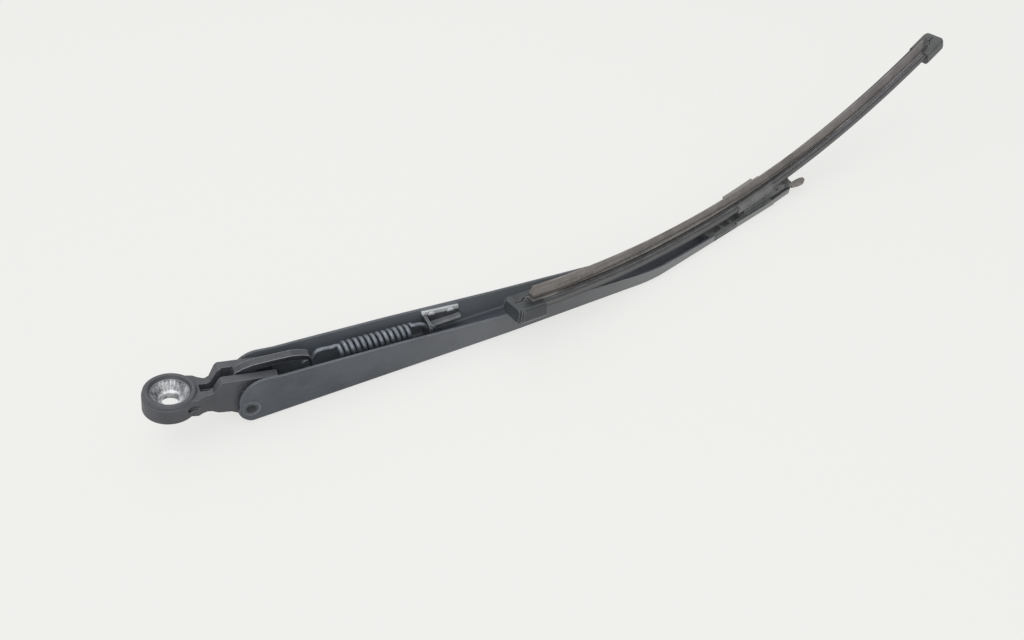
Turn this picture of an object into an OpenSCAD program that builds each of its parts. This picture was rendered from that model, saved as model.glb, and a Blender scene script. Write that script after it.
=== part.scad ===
// Rear wiper: folded steel arm with a cast mounting head, and the flat blade it carries.
// X runs from the spindle bore to the tip, +Z is the glass side. The part lies on its back.

/* [Folded steel arm] */
// outer width of the channel at the heel
arm_w = 21.5; // [18:0.1:26]
// outer width of the channel past its taper
tip_w = 17.8; // [15:0.1:22]
// thickness of the folded sheet
sheet_t = 1.2; // [1:0.1:1.8]
// outer radius of the two folds
fold_r = 2.4; // [2:0.1:4]
// height of the raised ears around the hinge
ear_h = 26.2; // [25:0.1:30]
// where the taper starts
taper_x = 171.5; // [150:0.5:200]
// where the two straight runs would meet in plan
bend_x = 264.4; // [255:0.1:280]
// bend of the arm in plan
bend_deg = 14.04; // [10:0.01:18]
// radius of that bend at the middle of the channel
bend_r = 86; // [60:1:120]
// from the bend to the middle of the blade
blade_along = 96.4; // [85:0.1:110]
// from the middle of the blade to the end of the arm
nose_len = 40; // [30:0.5:45]
// where the back plate of the channel starts
back_x = 37; // [36.5:0.5:44]

/* [Mounting head] */
// outer diameter of the spindle ring
ring_d = 24.4; // [23:0.1:30]
// height of the spindle ring
ring_h = 11.5; // [8:0.1:12]
// diameter of the through hole for the spindle thread
bore_d = 8.2; // [8:0.1:8.6]
// diameter of the ribbed taper at its wide end
taper_d = 16.8; // [13:0.1:18]
// diameter of the mouth above the taper
mouth_d = 19.6; // [18:0.1:21]
// from the underside of the ring to the foot of the taper
seat_t = 5.25; // [4:0.05:6]
// ring centre to hinge axis, along the neck
neck_len = 34.84; // [30:0.01:40]
// height of the ring centre over the hinge axis
ring_up = 4.13; // [2:0.01:8]
// how far the head is tipped when the arm is fully folded
fold_deg = 14.85; // [8:0.01:20]
// outer width of the two cheeks
cheek_w = 14.8; // [13:0.1:16]
// width of the slot between the cheeks
slot_w = 6; // [5:0.1:7]
// top of the cheeks over the hinge axis
cheek_top = 16.2; // [14:0.1:18]
// reach of the cheeks past the hinge axis
tail_len = 12.8; // [10:0.1:15]

/* [Hinge and link] */
// position of the hinge axis along the arm
hinge_x = 32.6; // [30:0.1:36]
// height of the hinge axis over the back of the arm
hinge_z = 10.3; // [9:0.1:12]
// diameter of the hinge pin
hinge_d = 6; // [5:0.1:7]
// diameter of the link pin
link_pin_d = 4; // [3:0.1:5]
// link pin ahead of the hinge axis, along the neck
link_pin_x = 3.5; // [2:0.1:5]
// link pin over the hinge axis
link_pin_z = 11; // [9:0.1:12]
// radial gap of a pin that turns in its hole
run_gap = 0.05; // [0.02:0.01:0.1]
// side gap between parts that turn past one another
side_gap = 0.1; // [0.05:0.01:0.3]
// width of the spring link
link_w = 4.4; // [3.5:0.1:5]

/* [Tension spring] */
// wire diameter
wire_d = 2.5; // [2:0.1:2.8]
// outside diameter of the coils
coil_d = 9.6; // [8:0.1:11]
// number of coils
coils = 13; // [9:1:16]
// hole in the link that takes the spring hook, along the arm
hook_x = 65.8; // [60:0.1:70]
// the same hole, over the back of the arm
hook_z = 19.25; // [17:0.05:22]
// hole in the anchor that takes the other hook, along the arm
anchor_x = 129.6; // [120:0.1:140]
// the same hole, over the back of the arm
anchor_z = 14.3; // [12:0.1:16]

/* [Blade] */
// from the pivot to the outer end, along the curve
blade_out = 202; // [180:0.5:230]
// from the pivot to the inner end, along the curve
blade_in = 200; // [180:0.5:230]
// radius of the free curve of the blade
curve_r = 592; // [500:1:900]
// width over the cover strip
blade_w = 12; // [11.5:0.1:12.6]
// middle of the blade section over the back of the arm
blade_z = 13.4; // [12.6:0.1:15]
// how far the outer end is rocked up
rock_deg = 3.6; // [0:0.01:5]
// height of the rubber edge over the middle of the section
lip_h = 9.7; // [8:0.1:11]
// width of the spring rail on each side of the rubber
rail_w = 4; // [3:0.1:5]
// thickness of the spring rails
rail_t = 0.9; // [0.8:0.05:1.2]
// length of an end cap
cap_len = 18.5; // [17:0.5:24]
// length of the middle clamp
clamp_len = 34; // [28:0.5:40]
// height of the pivot of the blade over the back of the arm
pivot_z = 5.5; // [5.3:0.1:6]
// diameter of that pivot
pivot_d = 2.2; // [2:0.1:2.4]

/* [Hidden] */
$fn = 48;
nut_recess = 1.85;
// middle of the bore wall, from the ring centre, then in the plane of the arm
bore_up = ring_up - ring_h / 2 + (seat_t + nut_recess) / 2;
origin_x = hinge_x - neck_len * cos(fold_deg) + bore_up * sin(fold_deg);
origin_z = hinge_z + neck_len * sin(fold_deg) + bore_up * cos(fold_deg);
bend_t = bend_r * tan(bend_deg / 2);
wall_y = arm_w / 2 - sheet_t;
tip_wall_y = tip_w / 2 - sheet_t;
cheek_y = cheek_w / 2;
slot_y = slot_w / 2;
blade_x = bend_x + blade_along * cos(bend_deg);
blade_y = blade_along * sin(bend_deg);
hinge_r = hinge_d / 2;
link_pin_r = link_pin_d / 2;
pivot_r = pivot_d / 2;
wire_r = wire_d / 2;
half_w = blade_w / 2;
rail_z0 = 0.2;
rail_z1 = rail_z0 + rail_t;
rail_y0 = 1;
rail_y1 = rail_y0 + rail_w;

// sheet section from the fold centres, as y-z points
function arc(cy, cz, r, a0, a1, n = 6) = [for (i = [0:n]) let (a = a0 + (a1 - a0) * i / n)
  [cy + r * cos(a), cz + r * sin(a)]];
function channel_outer(w, h) = concat([[-w / 2, h]],
  arc(-w / 2 + fold_r, fold_r, fold_r, 180, 270),
  arc(w / 2 - fold_r, fold_r, fold_r, 270, 360), [[w / 2, h]]);
function channel_inner(w, h) = concat([[w / 2 - sheet_t, h]],
  arc(w / 2 - fold_r, fold_r, fold_r - sheet_t, 360, 270),
  arc(-w / 2 + fold_r, fold_r, fold_r - sheet_t, 270, 180), [[-w / 2 + sheet_t, h]]);
function channel(w, h) = concat(channel_outer(w, h), channel_inner(w, h));
function flip(pts) = [for (p = pts) [-p[0], p[1]]];
function rev(pts) = [for (i = [len(pts) - 1:-1:0]) pts[i]];
function both(pts) = concat(pts, rev(flip(pts)));

// the part's own origin is the middle of the spindle bore
module lay() {
  translate([-origin_x, 0, -origin_z]) children();
}

module at_tip() {
  translate([blade_x, blade_y, 0]) rotate([0, 0, bend_deg]) children();
}

module at_head() {
  translate([hinge_x, 0, hinge_z]) rotate([0, fold_deg, 0]) children();
}

module at_blade() {
  at_tip() translate([0, 0, blade_z]) rotate([0, -rock_deg, 0]) children();
}

// a y-z section run along X
module run_x(pts, x0, x1) {
  translate([x0, 0, 0]) rotate([90, 0, 90]) linear_extrude(height = x1 - x0) polygon(pts);
}

// an x-z outline run across Y
module run_y(y0, y1) {
  translate([0, y1, 0]) rotate([90, 0, 0]) linear_extrude(height = y1 - y0) children();
}

// a y-z section run along the curve of the blade, from s0 to s1
module sweep(pts, s0, s1) {
  a0 = s0 / curve_r * 180 / PI;
  a1 = s1 / curve_r * 180 / PI;
  translate([0, 0, curve_r]) rotate([90, 0, 0]) rotate([0, 0, a0 - 90])
    rotate_extrude(angle = a1 - a0, $fn = 360)
      polygon([for (p = pts) [curve_r - p[1], -p[0]]]);
}

// a place s along the curve of the blade
module at_s(s) {
  a = s / curve_r * 180 / PI;
  translate([curve_r * sin(a), 0, curve_r * (1 - cos(a))]) rotate([0, -a, 0]) children();
}

// side view of the arm: round heel, raised ears, long falling edge
module arm_side() {
  heel_r = 10;
  ear_r = 14;
  heel_x = 36.4;
  ear_x = 41.9;
  top = [[43, ear_h - 0.1], [51.5, 24.7], [64, 23.9], [111.5, 20.2], [taper_x, 14.4], [231.5, 10.9],
    [291.5, 7], [315, 6.3], [430, 4.4], [430, -1], [heel_x, -1]];
  polygon(concat(arc(heel_x, heel_r, heel_r, 270, 180, 12),
    arc(ear_x, ear_h - ear_r, ear_r, 180, 90, 10), top));
}

module nose_hull(inset, z0) {
  post_r = 4 - inset;
  low_r = 2.4 - inset / 2;
  post_x = nose_len - 4;
  post_y = 3.6;
  join_x = 18.7;
  hull() {
    translate([join_x - 0.3, -tip_w / 2 + inset, fold_r])
      cube([0.01, tip_w - 2 * inset, 30]);
    translate([join_x - 0.3, -tip_w / 2 + fold_r, z0])
      cube([0.01, tip_w - 2 * fold_r, 30]);
    for (s = [-1, 1]) {
      translate([post_x, s * post_y, z0 + 1.6]) cylinder(r = post_r, h = 30, $fn = 32);
      translate([post_x, s * post_y, z0]) cylinder(r = low_r, h = 30, $fn = 32);
    }
  }
}

module channel_taper(inset, x1) {
  hull() {
    run_x(inset ? channel_inner(arm_w, 40) : channel_outer(arm_w, 40), taper_x, taper_x + 0.001);
    run_x(inset ? channel_inner(tip_w, 40) : channel_outer(tip_w, 40), x1 - 0.001, x1);
  }
}

module channel_shell() {
  wall_h = 40;
  x1 = bend_x - bend_t;
  run_x(channel(arm_w, wall_h), 20, taper_x);
  difference() {
    channel_taper(false, x1 - 1);
    channel_taper(true, x1 - 1);
  }
  run_x(channel(tip_w, wall_h), x1 - 2, x1);
  translate([x1, bend_r, 0]) rotate([0, 0, -90])
    rotate_extrude(angle = bend_deg, $fn = 180)
      polygon([for (p = channel(tip_w, wall_h)) [bend_r - p[0], p[1]]]);
  at_tip() {
    run_x(channel(tip_w, wall_h), bend_t - blade_along, 18.7);
    difference() {
      nose_hull(0, 0);
      nose_hull(sheet_t, sheet_t);
    }
  }
}

module arm_channel() {
  color("#55585d") lay() intersection() {
    difference() {
      channel_shell();
      // the back plate is open at the heel so that the head can swing down
      translate([10, -wall_y, -1]) cube([back_x - 10, 2 * wall_y, 8]);
      // pin holes
      translate([hinge_x, 0, hinge_z]) rotate([90, 0, 0])
        cylinder(r = hinge_r, h = 60, center = true);
      // window in the near wall for the catch of the adapter
      at_tip() translate([-41.5, -tip_w, 1.25]) cube([21.7, tip_w - tip_wall_y + 1, 30]);
      // lanced opening in the back, behind the anchor
      translate([anchor_x + 1.6, -3, -1]) cube([16.5, 6, 4]);
      for (x = rivet_x) rivet_axis(x) cylinder(r = rivet_r, h = 20, center = true);
    }
    run_y(-60, 120) arm_side();
  }
}

rivet_x = [134, 145];
rivet_r = 1.5;
rivet_down = 2.5;
function bracket_top(x) = 17.3 - (x - 130) * 0.134;

module rivet_axis(x) {
  translate([x, arm_w / 2, bracket_top(x) - rivet_down]) rotate([90, 0, 0]) children();
}

// pressed bracket: plate on the far wall with a narrow foot flange, and a web across the channel
module anchor_bracket() {
  plate_t = 1.5;
  x0 = anchor_x - plate_t / 2;
  x1 = 150;
  flange_z = 7.6;
  flange_w = 2.6;
  web_y = 3.5;
  web_top = anchor_z + 3.2;
  corner = fold_r - sheet_t;
  hook_r = wire_r + 0.2;
  color("#6a6d72") lay() difference() {
    union() {
      run_y(wall_y - plate_t, wall_y)
        polygon([[x0, flange_z], [x0, bracket_top(x0)], [x1, bracket_top(x1)], [x1, flange_z]]);
      translate([x0, wall_y - plate_t - flange_w, flange_z]) cube([x1 - x0, plate_t + flange_w, plate_t]);
      run_x([[-web_y, sheet_t], [-web_y, web_top - 2], [-web_y + 1.6, web_top], [web_y, web_top],
        [wall_y, bracket_top(x0) - 1], [wall_y, sheet_t + corner], [wall_y - corner, sheet_t]],
        x0, x0 + plate_t);
    }
    translate([anchor_x, 0, anchor_z]) rotate([0, 90, 0])
      cylinder(r = hook_r, h = 10, center = true);
    for (x = rivet_x) rivet_axis(x) cylinder(r = rivet_r, h = 20, center = true);
  }
}

module rivet(x) {
  head_r = 2.6;
  head_t = 0.9;
  color("#8c8f93") lay() rivet_axis(x) {
    translate([0, 0, -0.01]) mirror([0, 0, 1]) cylinder(r1 = head_r, r2 = head_r - 0.8, h = head_t);
    translate([0, 0, -0.02]) cylinder(r = rivet_r, h = sheet_t + 1.5 + 0.02);
    translate([0, 0, sheet_t + 1.5]) cylinder(r1 = head_r - 0.4, r2 = head_r - 1, h = 0.7);
  }
}

module anchor_rivet_front() {
  rivet(rivet_x[0]);
}

module anchor_rivet_rear() {
  rivet(rivet_x[1]);
}

// pin with both ends spread over the walls and dimpled
module hinge_pin() {
  rim_r = 4.8;
  rim_t = 0.7;
  dimple_r = 2.5;
  dimple_t = 1.1;
  color("#7d8084") lay() translate([hinge_x, 0, hinge_z]) for (s = [0, 180]) rotate([90 + s, 0, 0])
    difference() {
      union() {
        translate([0, 0, s ? 0 : -1]) cylinder(r = hinge_r, h = arm_w / 2 + (s ? 0.1 : 1.1));
        translate([0, 0, arm_w / 2]) cylinder(r1 = rim_r, r2 = rim_r - 0.5, h = rim_t);
      }
      translate([0, 0, arm_w / 2 + rim_t - dimple_t])
        cylinder(r1 = 0.9, r2 = dimple_r, h = dimple_t + 0.001);
    }
}

module washer(side) {
  washer_r = 5.2;
  gap = wall_y - cheek_y;
  color("#2b2c2e") lay() translate([hinge_x, side * (cheek_y + side_gap), hinge_z])
    rotate([side > 0 ? -90 : 90, 0, 0]) difference() {
      cylinder(r = washer_r, h = gap - side_gap);
      translate([0, 0, -1]) cylinder(r = hinge_r, h = gap + 2);
    }
}

module hinge_washer_near() {
  washer(-1);
}

module hinge_washer_far() {
  washer(1);
}

// side view of the neck and cheeks, hinge axis at the origin, ring on the left
module head_side() {
  polygon([[-30, -0.17], [-22.9, -2.1], [-8.3, -3.6], [-4, -6], [2, -7.6], [8.08, -7.07],
    [10.98, -6.3], [10.6, -2], [8.2, 4], [9.2, 8.2], [tail_len, 10.4], [tail_len, cheek_top],
    [-12.9, cheek_top], [-14, 15], [-16.6, 9.3], [-18.4, 8.3], [-25, 8.7], [-32, 9.4]]);
}

module head_plan() {
  half = [[-31, 9.4], [-26, 8.8], [-23.6, 8.5], [-21.5, 7], [-19.2, 6], [-17, 6.1], [-14.3, cheek_y],
    [tail_len + 1, cheek_y]];
  polygon(concat(half, rev([for (p = half) [p[0], -p[1]]])));
}

module ring_blank() {
  r = ring_d / 2;
  e = 0.9;
  translate([-neck_len, 0, ring_up - ring_h / 2]) rotate_extrude($fn = 72)
    polygon([[0, 0], [r - e, 0], [r, e], [r, ring_h - 2.6], [r - 0.35, ring_h - 2.3],
      [r - 0.35, ring_h - e], [r - 0.35 - e, ring_h], [0, ring_h]]);
}

// mouth, ribbed taper, through hole and shallow nut seat
module spindle_cut() {
  taper_end = bore_d / 2 + 1.1;
  mouth_t = 1.7;
  taper_t = ring_h - seat_t - mouth_t;
  lean = atan((taper_d / 2 - taper_end) / taper_t);
  ribs = 30;
  translate([-neck_len, 0, ring_up - ring_h / 2]) {
    translate([0, 0, -1]) cylinder(r = bore_d / 2, h = ring_h + 2, $fn = 72);
    translate([0, 0, seat_t]) cylinder(r1 = taper_end, r2 = taper_d / 2, h = taper_t, $fn = 72);
    translate([0, 0, seat_t + taper_t])
      cylinder(r1 = taper_d / 2 + 0.3, r2 = mouth_d / 2, h = mouth_t + 0.001, $fn = 72);
    translate([0, 0, -1]) cylinder(r = mouth_d / 2, h = 1 + nut_recess, $fn = 72);
    for (i = [0:ribs - 1]) rotate([0, 0, i * 360 / ribs])
      translate([(taper_d / 2 + taper_end) / 2, 0, seat_t + taper_t / 2]) rotate([0, lean, 0])
        rotate([0, 0, 45]) cube([0.72, 0.72, taper_t / cos(lean) - 1], center = true);
  }
}

module head_casting() {
  color("#6b6d70") lay() at_head() difference() {
    union() {
      ring_blank();
      intersection() {
        run_y(-20, 20) head_side();
        translate([0, 0, -20]) linear_extrude(height = 60) head_plan();
      }
    }
    spindle_cut();
    // slot for the link and its pocket in the neck
    translate([-12, -slot_y, -20]) cube([40, slot_w, 60]);
    translate([-22, -slot_y, 4.6]) cube([11, slot_w - 1, 30]);
    // recess beside the ring
    translate([-28.5, -14, 2.2]) cube([6, 6.4, 3.2]);
    rotate([90, 0, 0]) cylinder(r = hinge_r + run_gap, h = 60, center = true);
    translate([-link_pin_x, 0, link_pin_z]) rotate([90, 0, 0])
      cylinder(r = link_pin_r, h = 60, center = true);
  }
}

module link_pin() {
  color("#7d8084") lay() at_head() translate([-link_pin_x, 0, link_pin_z]) rotate([90, 0, 0])
    cylinder(r = link_pin_r, h = cheek_w - 0.6, center = true);
}

function head_point(x, z) = [hinge_x + x * cos(fold_deg) + z * sin(fold_deg),
  hinge_z - x * sin(fold_deg) + z * cos(fold_deg)];
link_at = head_point(-link_pin_x, link_pin_z);

module spring_link() {
  eye_r = 4.6;
  drop_t = 2.2;
  hook_r = wire_r + 0.3;
  color("#b4b5b8") lay() difference() {
    union() {
      translate([link_at[0], 0, link_at[1]]) rotate([90, 0, 0])
        cylinder(r = eye_r, h = link_w, center = true);
      run_y(-link_w / 2, link_w / 2)
        polygon([[link_at[0] - eye_r + 0.4, link_at[1] + 1.2], [29, 26], [30.6, 27.8], [34.2, 28.9],
          [39.1, 29.4], [48.5, 28.5], [58.1, 27.2], [62.8, 25.7], [66.1, 23.6],
          [hook_x + drop_t / 2, 21.5], [hook_x + drop_t / 2, hook_z - 3.3],
          [hook_x - drop_t / 2, hook_z - 3.3], [hook_x - drop_t / 2, 21.2], [62, 22.6], [57, 24],
          [48, 25.2], [41, 25.6], [link_at[0] + eye_r - 0.4, link_at[1] + 1.2]]);
    }
    translate([link_at[0], 0, link_at[1]]) rotate([90, 0, 0])
      cylinder(r = link_pin_r + run_gap, h = 30, center = true);
    translate([hook_x, 0, hook_z]) rotate([0, 90, 0])
      cylinder(r = hook_r, h = 6, center = true);
  }
}

// spring wire as a tube: u along its axis, v up, w across
spring_vec = [anchor_x - hook_x, anchor_z - hook_z];
spring_len = norm(spring_vec);
spring_dir = spring_vec / spring_len;
coil_r = coil_d / 2 - wire_r;
coil_u0 = 15.2;
coil_u1 = 54.3;
steps = 16;
hook_in = [[-3, -1.5], [-1.7, -0.2], [0, 0], [1.4, 0.1], [2.7, 1.1], [3.4, 2.8], [4.7, 3.9],
  [6.4, 4.1], [9, 3.8], [12, coil_r]];
hook_out = [[55.6, coil_r], [57.6, coil_r - 0.1], [59.4, 3], [60.6, 2.3], [61.7, 1], [62.6, 0.2],
  [spring_len, 0], [spring_len + 1.5, -0.3], [spring_len + 2.6, -1.4]];
function coil_point(i) = let (a = 90 + i * 360 / steps,
  u = coil_u0 + (coil_u1 - coil_u0) * i / (coils * steps))
  [u, coil_r * sin(a), coil_r * cos(a)];
wire_path = concat([for (p = hook_in) [p[0], p[1], 0]], [[13.9, coil_r, 0.35]],
  [for (i = [0:coils * steps]) coil_point(i)], [for (p = hook_out) [p[0], p[1], 0]]);
n_in = len(hook_in) + 1;
n_coil = coils * steps + 1;
function tangent(i) = let (a = wire_path[max(i - 1, 0)], b = wire_path[min(i + 1, len(wire_path) - 1)])
  (b - a) / norm(b - a);
function ref(i) = (i >= n_in && i < n_in + n_coil)
  ? let (a = 90 + (i - n_in) * 360 / steps) [0, sin(a), cos(a)]
  : let (t = tangent(i)) (abs(t[2]) > 0.3 ? [0, 1, 0] : [-t[1], t[0], 0]);
function square_up(v, t) = let (w = v - (v * t) * t) w / norm(w);
function wire_ring(i, k) = let (t = tangent(i), n = square_up(ref(i), t), b = cross(t, n))
  [for (j = [0:k - 1]) let (p = wire_path[i] + wire_r * (cos(j * 360 / k) * n + sin(j * 360 / k) * b))
    [hook_x + p[0] * spring_dir[0] - p[1] * spring_dir[1], p[2],
     hook_z + p[0] * spring_dir[1] + p[1] * spring_dir[0]]];

module tension_spring() {
  k = 8;
  n = len(wire_path);
  pts = [for (i = [0:n - 1]) each wire_ring(i, k)];
  sides = [for (i = [0:n - 2], j = [0:k - 1]) let (a = i * k + j, b = i * k + (j + 1) % k)
    [a, b, b + k, a + k]];
  color("#4d5154") lay()
    polyhedron(points = pts, faces = concat([[for (j = [k - 1:-1:0]) j]], sides,
      [[for (j = [0:k - 1]) (n - 1) * k + j]]), convexity = 10);
}

// moulded adapter clipped into the arm, with the hub that the blade rocks on
module blade_adapter() {
  base_z = sheet_t;
  base_top = 4.8;
  base_y = tip_wall_y;
  corner = fold_r - sheet_t;
  ridge_y = 5.3;
  step_x = 18;
  nose_x = 34;
  color("#3b3d40") lay() at_tip() difference() {
    union() {
      run_x([[-base_y, base_top], [-base_y, base_z + corner], [-base_y + corner, base_z],
        [base_y - corner, base_z], [base_y, base_z + corner], [base_y, base_top]], -44, step_x);
      translate([step_x - 1, -5.2, base_z]) cube([nose_x - step_x + 1, 10.4, 5.4 - base_z]);
      translate([-41.2, -tip_w / 2, 2.4]) cube([21.1, tip_w / 2 - base_y + 1, 1.8]);
      run_x([[-ridge_y, base_top - 0.5], [-ridge_y, 6.2], [-2.6, 7.8], [2.6, 7.8], [ridge_y, 6.2],
        [ridge_y, base_top - 0.5]], -8.5, step_x + 0.5);
      run_x([[-ridge_y, 4.5], [-ridge_y, 5], [-2, 8.5], [2, 8.5], [ridge_y, 5], [ridge_y, 4.5]],
        step_x, nose_x);
      translate([nose_x, 0, 5.2]) cylinder(r1 = 5.6, r2 = 4.6, h = 3.4);
      translate([nose_x + 5, -0.6, 5.2]) cylinder(r1 = 3.6, r2 = 2.9, h = 3);
      translate([tab_x - 2.2, -6, 5.4]) cube([4.4, 3.5, 4]);
    }
    translate([tab_x, -4, tab_z]) rotate([90, 0, 0])
      cylinder(r = tab_pin_r + run_gap, h = 10, center = true);
    translate([0, 0, pivot_z]) rotate([90, 0, 0]) cylinder(r = pivot_r, h = pin_len, center = true);
    // slots for the two lugs of the clamp
    for (s = [-1, 1]) translate([0, s * (lug_y0 + lug_y1) / 2, 8])
      cube([2 * lug_r + 2.4, lug_y1 - lug_y0 + 2 * side_gap, 10], center = true);
    // lightening pockets
    for (x = [-38, -29, -20]) translate([x, -base_y + 2, 2.4]) cube([7, 2 * base_y - 4, 10]);
    translate([26, -7, 6]) cube([3, 4, 6]);
  }
}

tab_x = 36.6;
tab_z = 8.1;
tab_pin_r = 0.9;
lug_y0 = 2.1;
lug_y1 = 3.4;
lug_r = 2.2;
pin_len = 9.2;

// paddle that frees the blade, on a stub pin at the near side of the adapter's end
module release_tab() {
  paddle_t = 1.2;
  color("#8e8a86") lay() at_tip() {
    translate([0, 0, tab_z - paddle_t / 2]) linear_extrude(height = paddle_t)
      polygon([[35, -9.6], [35.2, -6.2], [42.8, -6.1], [47, -6.5], [49.7, -7.7], [48.4, -10],
        [44.6, -11.6], [40, -11.2]]);
    translate([tab_x, -5.2, tab_z]) rotate([90, 0, 0]) cylinder(r = tab_pin_r, h = 4, center = true);
  }
}

module pivot_pin() {
  color("#8c8f93") lay() at_tip() translate([0, 0, pivot_z]) rotate([90, 0, 0])
    cylinder(r = pivot_r, h = pin_len, center = true);
}

clamp_s = clamp_len / 2;
in_s = blade_in - cap_len;
out_s = blade_out - cap_len;
// reach of the rubber and of the rails into the caps
lip_in = 6.5;
rail_in = 10;

// metal clamp: claws over the rails, a tray below and two lugs on the pivot
module blade_clamp() {
  claw_top = 1.9;
  side_y = half_w + 0.4;
  tray_z = -3.1;
  shelf_t = 1.2;
  shelf_y = 10.6;
  lug_t = lug_y1 - lug_y0;
  color("#5e6064") lay() difference() {
    union() {
      at_blade() sweep([[-side_y, tray_z], [-side_y, claw_top], [-3.2, claw_top], [-3.2, rail_z1],
        [-rail_y1, rail_z1], [-rail_y1, rail_z0], [-2.5, rail_z0], [-2.5, -1.1], [2.5, -1.1],
        [2.5, rail_z0], [rail_y1, rail_z0], [rail_y1, rail_z1], [3.2, rail_z1], [3.2, claw_top],
        [side_y, claw_top], [side_y, tray_z]], -clamp_s, clamp_s);
      at_blade() sweep([[side_y - 0.5, tray_z], [side_y - 0.5, tray_z + shelf_t],
        [shelf_y, tray_z + shelf_t], [shelf_y, tray_z]], -clamp_s + 5, clamp_s - 1);
      for (s = [-1, 1]) at_tip() translate([0, s * (lug_y0 + lug_y1) / 2, 0]) {
        translate([0, 0, pivot_z]) rotate([90, 0, 0]) cylinder(r = lug_r, h = lug_t, center = true);
        translate([-lug_r, -lug_t / 2, pivot_z]) cube([2 * lug_r, lug_t, blade_z - 2 - pivot_z]);
      }
    }
    at_tip() translate([0, 0, pivot_z]) rotate([90, 0, 0])
      cylinder(r = pivot_r + run_gap, h = 30, center = true);
  }
}

rubber_head = [[2.6, 1.75], [2.6, rail_z1], [rail_y0, rail_z1], [rail_y0, rail_z0],
  [2.4, rail_z0], [2.4, -1]];
rubber_lip = [[0.42, lip_h], [0.75, lip_h - 1.2], [2, 3.6], [1.9, 3], [0.55, 2.6], [0.55, 1.9]];

module wiper_rubber() {
  color("#77746f") lay() at_blade() {
    sweep(both(concat(rubber_lip, rubber_head)), -in_s - lip_in, out_s + lip_in);
  }
}

module rail(side) {
  a = side * rail_y0;
  b = side * rail_y1;
  color("#82868a") lay() at_blade()
    sweep([[a, rail_z0], [a, rail_z1], [b, rail_z1], [b, rail_z0]], -in_s - rail_in, out_s + rail_in);
}

module rail_near() {
  rail(-1);
}

module rail_far() {
  rail(1);
}

// cover strip behind the rails, with a low fin on its far edge
module cover(s0, s1) {
  top_z = 1.5;
  color("#4a4c50") lay() at_blade() sweep([[-4.3, rail_z1], [-4.3, top_z], [-half_w + 0.3, top_z],
    [-half_w, top_z - 0.4], [-half_w, -1.5], [-half_w + 0.9, -2.7], [-1, -3.5], [2.4, -3.3],
    [4.9, -3.9], [half_w, -3.3], [half_w - 0.2, -1.6], [half_w, top_z - 0.3],
    [half_w - 0.2, top_z], [4.3, top_z], [4.3, rail_z1], [rail_y1, rail_z1], [rail_y1, rail_z0],
    [2.5, rail_z0], [2.5, -1.1], [-2.5, -1.1], [-2.5, rail_z0], [-rail_y1, rail_z0],
    [-rail_y1, rail_z1]], s0, s1);
}

module cover_inner() {
  cover(-in_s, -clamp_s);
}

module cover_outer() {
  cover(clamp_s, out_s);
}

function cap_section(k) = [for (p = [[-7.4, 0.6], [-6.2, 2], [5.8, 2.2], [6.9, 1], [7.2, -3.2],
  [5.8, -6.2], [-6.8, -6.8], [-8.2, -4.8]]) [p[0] * k, p[1] * k - (1 - k) * 2]];

// far end of one arm of the crease, as two corners
function crease_arm(a, len = 4.2, half = 0.35) = [
  [len * cos(a) + half * sin(a), len * sin(a) - half * cos(a)],
  [len * cos(a) - half * sin(a), len * sin(a) + half * cos(a)]];

// moulded cap, side -1 or 1, from s along the curve to its end
module end_cap(side, s) {
  cap_gap = 0.05;
  module piece(pts, s0, s1) {
    sweep(pts, min(side * s0, side * s1), max(side * s0, side * s1));
  }
  color("#6f7274") lay() at_blade() difference() {
    union() {
      piece(cap_section(1), s, s + cap_len - 2.2);
      piece(cap_section(0.94), s + 11, s + cap_len - 0.9);
      piece(cap_section(0.82), s + 12, s + cap_len);
    }
    piece([[-rail_y1 - cap_gap, rail_z0 - cap_gap], [-rail_y1 - cap_gap, rail_z1 + cap_gap],
      [rail_y1 + cap_gap, rail_z1 + cap_gap], [rail_y1 + cap_gap, rail_z0 - cap_gap]],
      s - 1, s + rail_in + cap_gap);
    piece([[-2.7, -1.1], [-2.7, 4], [2.7, 4], [2.7, -1.1]], s - 1, s + lip_in + 0.3);
    // Y-shaped crease in the closed top
    at_s(side * (s + 12.2)) mirror([side > 0 ? 0 : 1, 0, 0]) translate([0, 0, 1.3])
      linear_extrude(height = 3) polygon(concat(crease_arm(0), [[0.094, 0.35]], crease_arm(150),
        [[-0.7, 0]], crease_arm(-150), [[0.094, -0.35]]));
  }
}

module end_cap_inner() {
  end_cap(-1, in_s);
}

module end_cap_outer() {
  end_cap(1, out_s);
}

arm_channel();
anchor_bracket();
anchor_rivet_front();
anchor_rivet_rear();
hinge_pin();
hinge_washer_near();
hinge_washer_far();
head_casting();
link_pin();
spring_link();
tension_spring();
blade_adapter();
release_tab();
pivot_pin();
blade_clamp();
wiper_rubber();
rail_near();
rail_far();
cover_inner();
cover_outer();
end_cap_inner();
end_cap_outer();
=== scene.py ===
import bpy
import math
from mathutils import Matrix, Vector


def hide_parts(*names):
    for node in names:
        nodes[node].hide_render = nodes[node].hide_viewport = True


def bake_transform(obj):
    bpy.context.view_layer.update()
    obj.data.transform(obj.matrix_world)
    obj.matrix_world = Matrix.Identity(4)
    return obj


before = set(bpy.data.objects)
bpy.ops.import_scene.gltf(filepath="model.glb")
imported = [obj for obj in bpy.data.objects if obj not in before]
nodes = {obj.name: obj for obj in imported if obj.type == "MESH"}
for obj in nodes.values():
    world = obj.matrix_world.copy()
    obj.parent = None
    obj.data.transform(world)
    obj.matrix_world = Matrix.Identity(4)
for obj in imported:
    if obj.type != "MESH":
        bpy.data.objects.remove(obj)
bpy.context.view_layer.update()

# Arm: one channel folded from 1.2 mm steel sheet, lying on its back. It is cut away at the heel, where
# the mounting head turns between its walls, and has a window near the tip, where the adapter clips in.
coat_cloud, scuff_long, scuff_wide, coat_grain = 26.3, 6.17, 0.855, 0.385  # mm
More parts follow.
